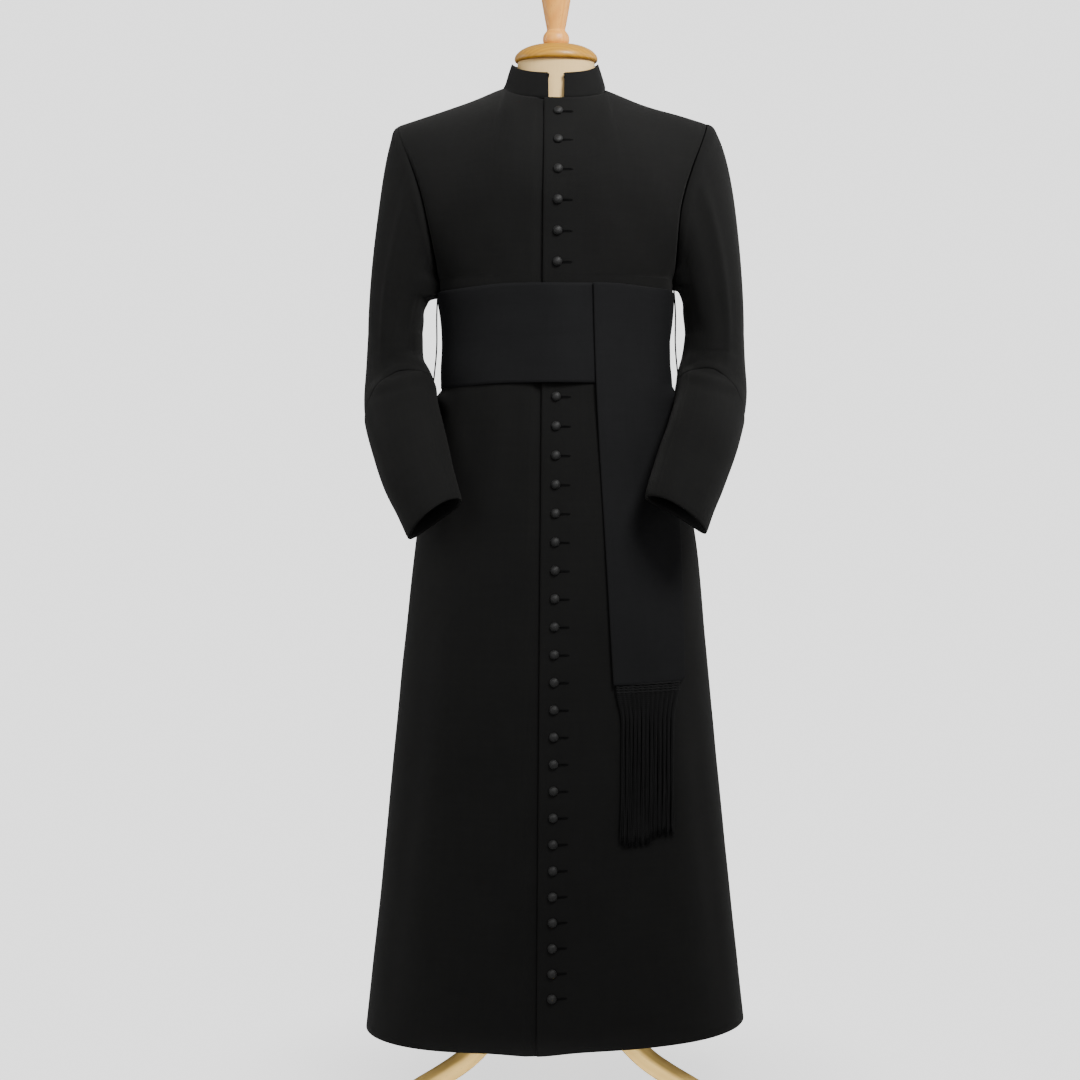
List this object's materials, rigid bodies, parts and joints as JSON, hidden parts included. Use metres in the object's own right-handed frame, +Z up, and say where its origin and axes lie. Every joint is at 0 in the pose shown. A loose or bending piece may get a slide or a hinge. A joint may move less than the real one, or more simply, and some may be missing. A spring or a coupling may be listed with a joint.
{
  "type": "cassock on a dress form",
  "caption": "Long black buttoned cassock with a stand collar, a fringed waist sash and turned-back cuffs, worn by a limbless dress form on a wooden tripod stand.",
  "frame": {"origin": "centre of the bounding box at floor level, under the feet of the stand", "axes": "+Z up the pole, -Y out of the buttoned front, +X towards the wearer's left, where the sash end hangs"},
  "size_m": [0.5608, 0.494, 1.6358],
  "materials": {
    "wool": "matt plain-woven wool",
    "covered_button": "cloth-covered",
    "sash": "smooth ribbed silk-like cloth",
    "fringe": "twisted thread",
    "loop_thread": "worked thread",
    "form_cover": "plain cotton jersey",
    "wood": "satin lacquer",
    "cap_wood": "satin lacquer"
  },
  "bodies": {
    "root": {"back_left_bodice": "wool", "back_left_skirt": "wool", "back_right_bodice": "wool", "back_right_skirt": "wool", "belt_loop_left": "loop_thread", "belt_loop_right": "loop_thread", "button_01": "covered_button", "button_02": "covered_button", "button_03": "covered_button", "button_04": "covered_button", "button_05": "covered_button", "button_06": "covered_button", "button_07": "covered_button", "button_08": "covered_button", "button_09": "covered_button", "button_10": "covered_button", "button_11": "covered_button", "button_12": "covered_button", "button_13": "covered_button", "button_14": "covered_button", "button_15": "covered_button", "button_16": "covered_button", "button_17": "covered_button", "button_18": "covered_button", "button_19": "covered_button", "button_20": "covered_button", "button_21": "covered_button", "button_22": "covered_button", "button_23": "covered_button", "button_24": "covered_button", "button_25": "covered_button", "button_26": "covered_button", "button_27": "covered_button", "button_28": "covered_button", "button_29": "covered_button", "button_30": "covered_button", "button_31": "covered_button", "button_32": "covered_button", "button_33": "covered_button", "collar": "wool", "cuff_left": "wool", "cuff_right": "wool", "finial": "wood", "form_torso": "form_cover", "front_left_bodice": "wool", "front_left_skirt": "wool", "front_right_bodice": "wool", "front_right_skirt": "wool", "hub": "wood", "leg_back": "wood", "leg_left": "wood", "leg_right": "wood", "neck_cap": "cap_wood", "pole": "wood", "sash_band": "sash", "sash_fall": "sash", "sash_fringe": "fringe", "sleeve_left": "wool", "sleeve_right": "wool"}
  },
  "joints": []
}
